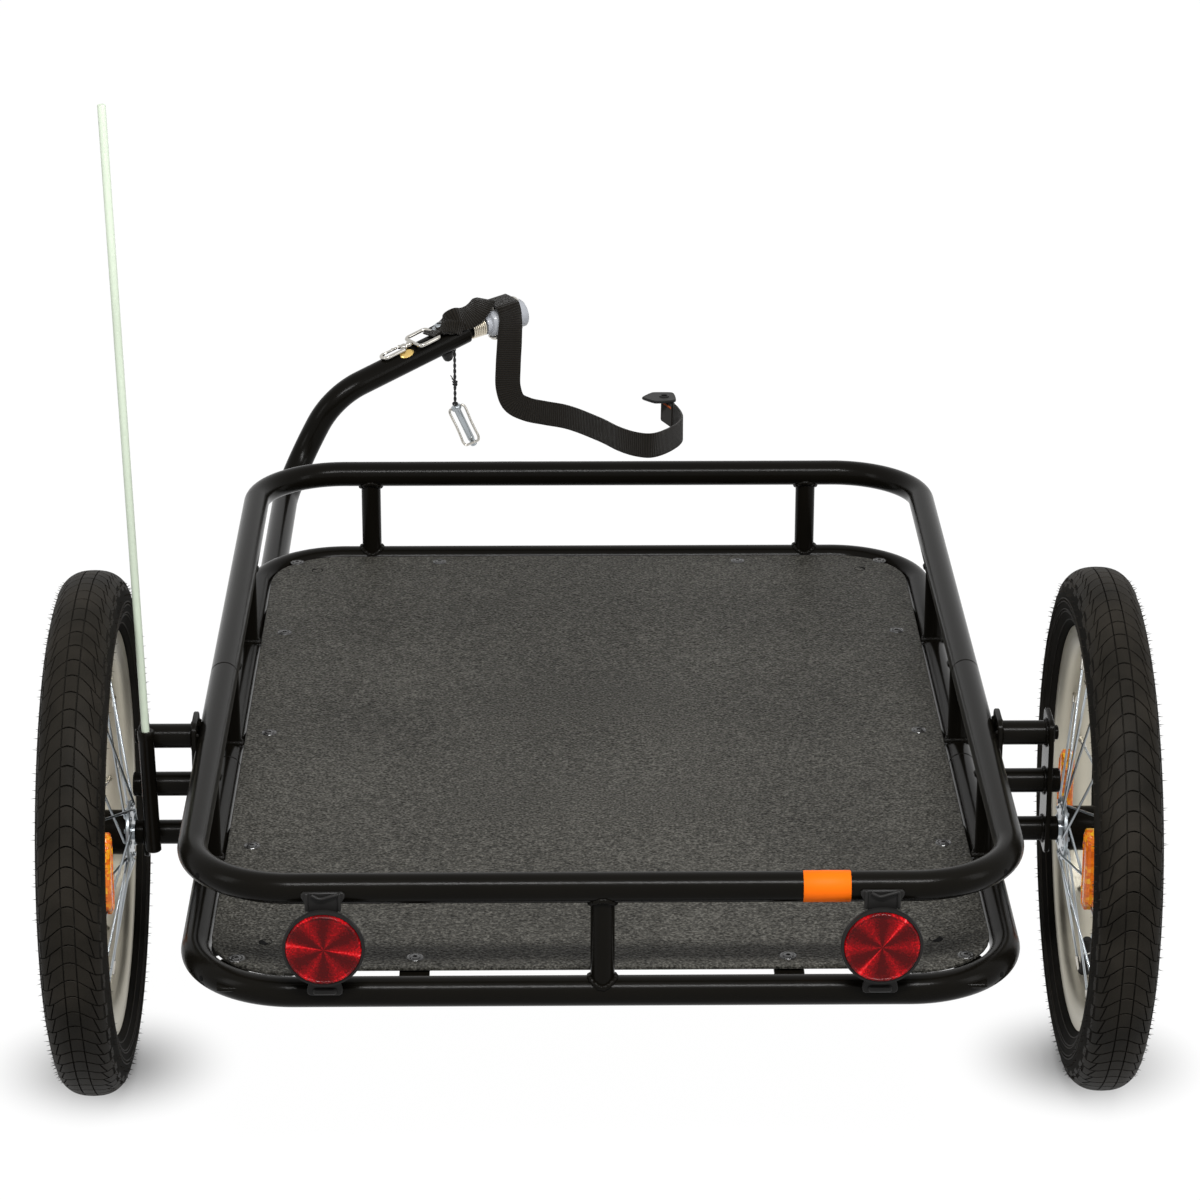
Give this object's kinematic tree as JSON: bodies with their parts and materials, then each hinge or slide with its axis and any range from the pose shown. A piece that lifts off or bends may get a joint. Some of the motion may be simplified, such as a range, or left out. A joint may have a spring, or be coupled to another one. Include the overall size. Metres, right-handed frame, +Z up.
{
  "type": "cargo bike trailer",
  "caption": "Flat-bed bicycle cargo trailer with black tube rails, dark deck, spoked wheels with knobbly tyres, red rear reflectors, a flag pole and a sprung tow hitch.",
  "frame": {"origin": "on the ground under the middle of the trailer's outer box, without the loose strap and pin lanyard", "axes": "+X to the right, +Y forward to the hitch, +Z up"},
  "size_m": [0.8536, 1.3094, 0.7939],
  "materials": {
    "painted_tube": "gloss",
    "deck_plastic": "matte",
    "black_plastic": "satin",
    "tyre_rubber": "matte",
    "rim_silver": "satin",
    "zinc_steel": "satin",
    "webbing": "matte",
    "hitch_grey": "satin",
    "lens_red": "gloss",
    "lens_orange": "gloss",
    "pole_white": "satin"
  },
  "bodies": {
    "frame": {"upper_rail_front": "painted_tube", "upper_rail_rear": "painted_tube", "lower_rail_front": "painted_tube", "lower_rail_rear": "painted_tube", "front_upright_left": "painted_tube", "front_upright_right": "painted_tube", "rear_upright": "painted_tube", "left_upright_rear": "painted_tube", "left_upright_middle": "painted_tube", "left_upright_front": "painted_tube", "right_upright_rear": "painted_tube", "right_upright_middle": "painted_tube", "right_upright_front": "painted_tube", "deck_board": "deck_plastic", "cross_tube_rear": "painted_tube", "cross_tube_front": "painted_tube", "left_axle_bracket": "painted_tube", "right_axle_bracket": "painted_tube", "left_axle": "zinc_steel", "right_axle": "zinc_steel", "left_rear_reflector_housing": "black_plastic", "left_rear_reflector_lens": "lens_red", "right_rear_reflector_housing": "black_plastic", "right_rear_reflector_lens": "lens_red", "flag_socket": "painted_tube", "tow_arm": "painted_tube", "tow_arm_clamp_rear": "painted_tube", "tow_arm_clamp_front": "painted_tube", "hitch_spring": "zinc_steel", "arm_strap": "webbing", "snap_ring": "zinc_steel", "snap_hook": "zinc_steel", "pin_lanyard": "webbing", "hitch_pin": "zinc_steel"},
    "left_wheel": {"left_tyre": "tyre_rubber", "left_rim": "rim_silver", "left_hub_shell": "painted_tube", "left_inboard_spokes": "zinc_steel", "left_outboard_spokes": "zinc_steel", "left_inboard_bearing": "zinc_steel", "left_outboard_bearing": "zinc_steel", "left_wheel_reflector_front": "lens_orange", "left_wheel_reflector_rear": "lens_orange"},
    "right_wheel": {"right_tyre": "tyre_rubber", "right_rim": "rim_silver", "right_hub_shell": "painted_tube", "right_inboard_spokes": "zinc_steel", "right_outboard_spokes": "zinc_steel", "right_inboard_bearing": "zinc_steel", "right_outboard_bearing": "zinc_steel", "right_wheel_reflector_front": "lens_orange", "right_wheel_reflector_rear": "lens_orange"},
    "hitch": {"hitch_barrel": "hitch_grey", "hitch_bolt_rear": "zinc_steel", "hitch_bolt_front": "zinc_steel", "safety_strap": "webbing", "strap_end_tab": "black_plastic"},
    "pole": {"flag_pole": "pole_white"},
    "gate": {"snap_gate": "zinc_steel"},
    "bail": {"pin_bail": "zinc_steel"}
  },
  "joints": [
    {"name": "left_wheel_spin", "type": "hinge", "parent": "frame", "child": "left_wheel", "pos_m": [-0.392, -0.35252, 0.205], "axis": [1, 0, 0], "continuous": true},
    {"name": "right_wheel_spin", "type": "hinge", "parent": "frame", "child": "right_wheel", "pos_m": [0.392, -0.35252, 0.205], "axis": [1, 0, 0], "continuous": true},
    {"name": "hitch_flex", "type": "hinge", "parent": "frame", "child": "hitch", "pos_m": [-0.10762, 0.61605, 0.31368], "axis": [-0.1155, -0.068, 0.991], "range_deg": [-30, 30], "stiffness_Nm_per_rad": 8, "deforming": ["hitch_spring"]},
    {"name": "flag_pole_lift", "type": "slide", "parent": "frame", "child": "pole", "axis": [-0.024, 0, 0.9997], "range_m": [0, 0.085]},
    {"name": "snap_gate_open", "type": "hinge", "parent": "frame", "child": "gate", "pos_m": [-0.18452, 0.57458, 0.3057], "axis": [-0.2251, -0.1413, 0.964], "range_deg": [0, 25], "stiffness_Nm_per_rad": 0.05},
    {"name": "pin_bail_open", "type": "hinge", "parent": "frame", "child": "bail", "pos_m": [-0.12741, 0.60331, 0.23419], "axis": [-0.9131, 0, -0.4078], "range_deg": [0, 90]}
  ]
}
